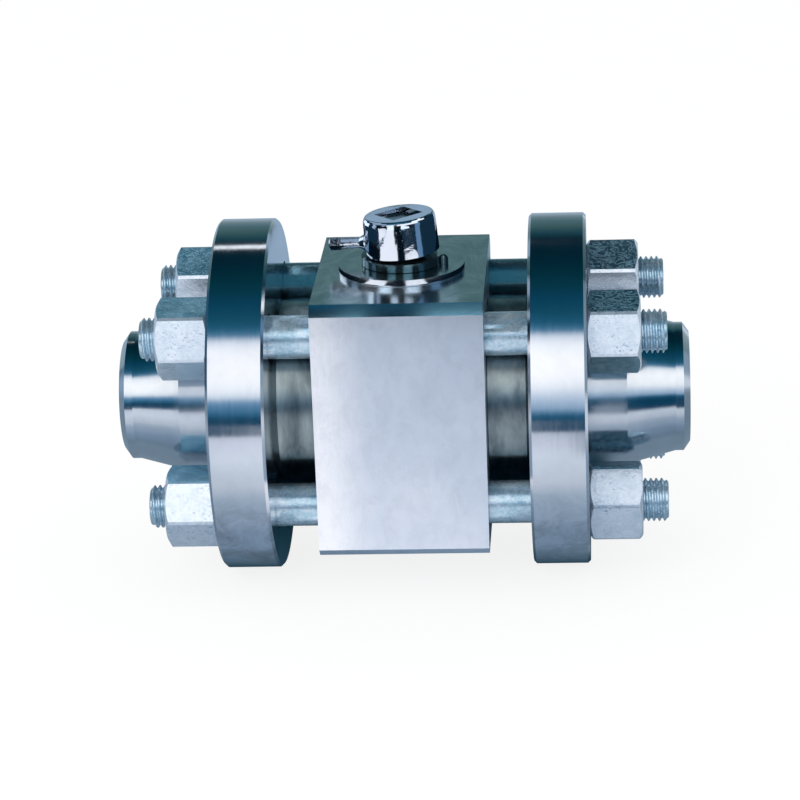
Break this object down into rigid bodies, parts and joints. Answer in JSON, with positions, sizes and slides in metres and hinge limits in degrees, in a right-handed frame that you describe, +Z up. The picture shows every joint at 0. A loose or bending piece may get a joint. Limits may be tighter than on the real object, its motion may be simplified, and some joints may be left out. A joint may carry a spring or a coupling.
{
  "type": "three-piece ball valve",
  "caption": "Three-piece ball valve with a square body block, round clamp flanges held by through studs, butt-weld ends and a quarter-turn hub handle.",
  "frame": {"origin": "on the ground plane, midway between the weld ends and straight under the stem axis", "axes": "+X along the flow axis, +Z up along the stem axis, -Y is the plain front of the block with the stop pin nearer to it"},
  "size_m": [0.213, 0.132, 0.1365],
  "materials": {
    "ground_steel": "ground, satin",
    "turned_steel": "fine turned, bright",
    "weld_end_steel": "turned, slightly dull",
    "galvanised": "galvanised, mottled",
    "zinc_nut": "zinc plated, scratched",
    "chrome": "polished chrome over a slightly uneven casting",
    "stem_steel": "machined, dull",
    "ball_steel": "lapped",
    "seat_plastic": "matt white",
    "seal_graphite": "matt black",
    "black_screw": "black oxide"
  },
  "bodies": {
    "valve_body": {"body_block": "ground_steel", "flange_left": "turned_steel", "flange_right": "turned_steel", "connector_left": "weld_end_steel", "connector_right": "weld_end_steel", "stud_front_top": "galvanised", "stud_front_bottom": "galvanised", "stud_back_top": "galvanised", "stud_back_bottom": "galvanised", "nut_left_front_top": "zinc_nut", "nut_left_front_bottom": "zinc_nut", "nut_left_back_top": "zinc_nut", "nut_left_back_bottom": "zinc_nut", "nut_right_front_top": "zinc_nut", "nut_right_front_bottom": "zinc_nut", "nut_right_back_top": "zinc_nut", "nut_right_back_bottom": "zinc_nut", "body_seal_left": "seal_graphite", "body_seal_right": "seal_graphite", "seat_left": "seat_plastic", "seat_right": "seat_plastic", "thrust_washer": "seat_plastic", "stop_pin": "stem_steel"},
    "stem_group": {"ball": "ball_steel", "stem": "stem_steel", "stem_seal_lower": "seal_graphite", "stem_seal_upper": "seal_graphite", "stop_ring": "stem_steel", "handle_hub": "chrome", "lever_stub": "chrome", "set_screw": "black_screw"}
  },
  "joints": [
    {"name": "quarter_turn", "type": "hinge", "parent": "valve_body", "child": "stem_group", "pos_m": [0, 0, 0.066], "axis": [0, 0, 1], "range_deg": [-90, 0]}
  ]
}
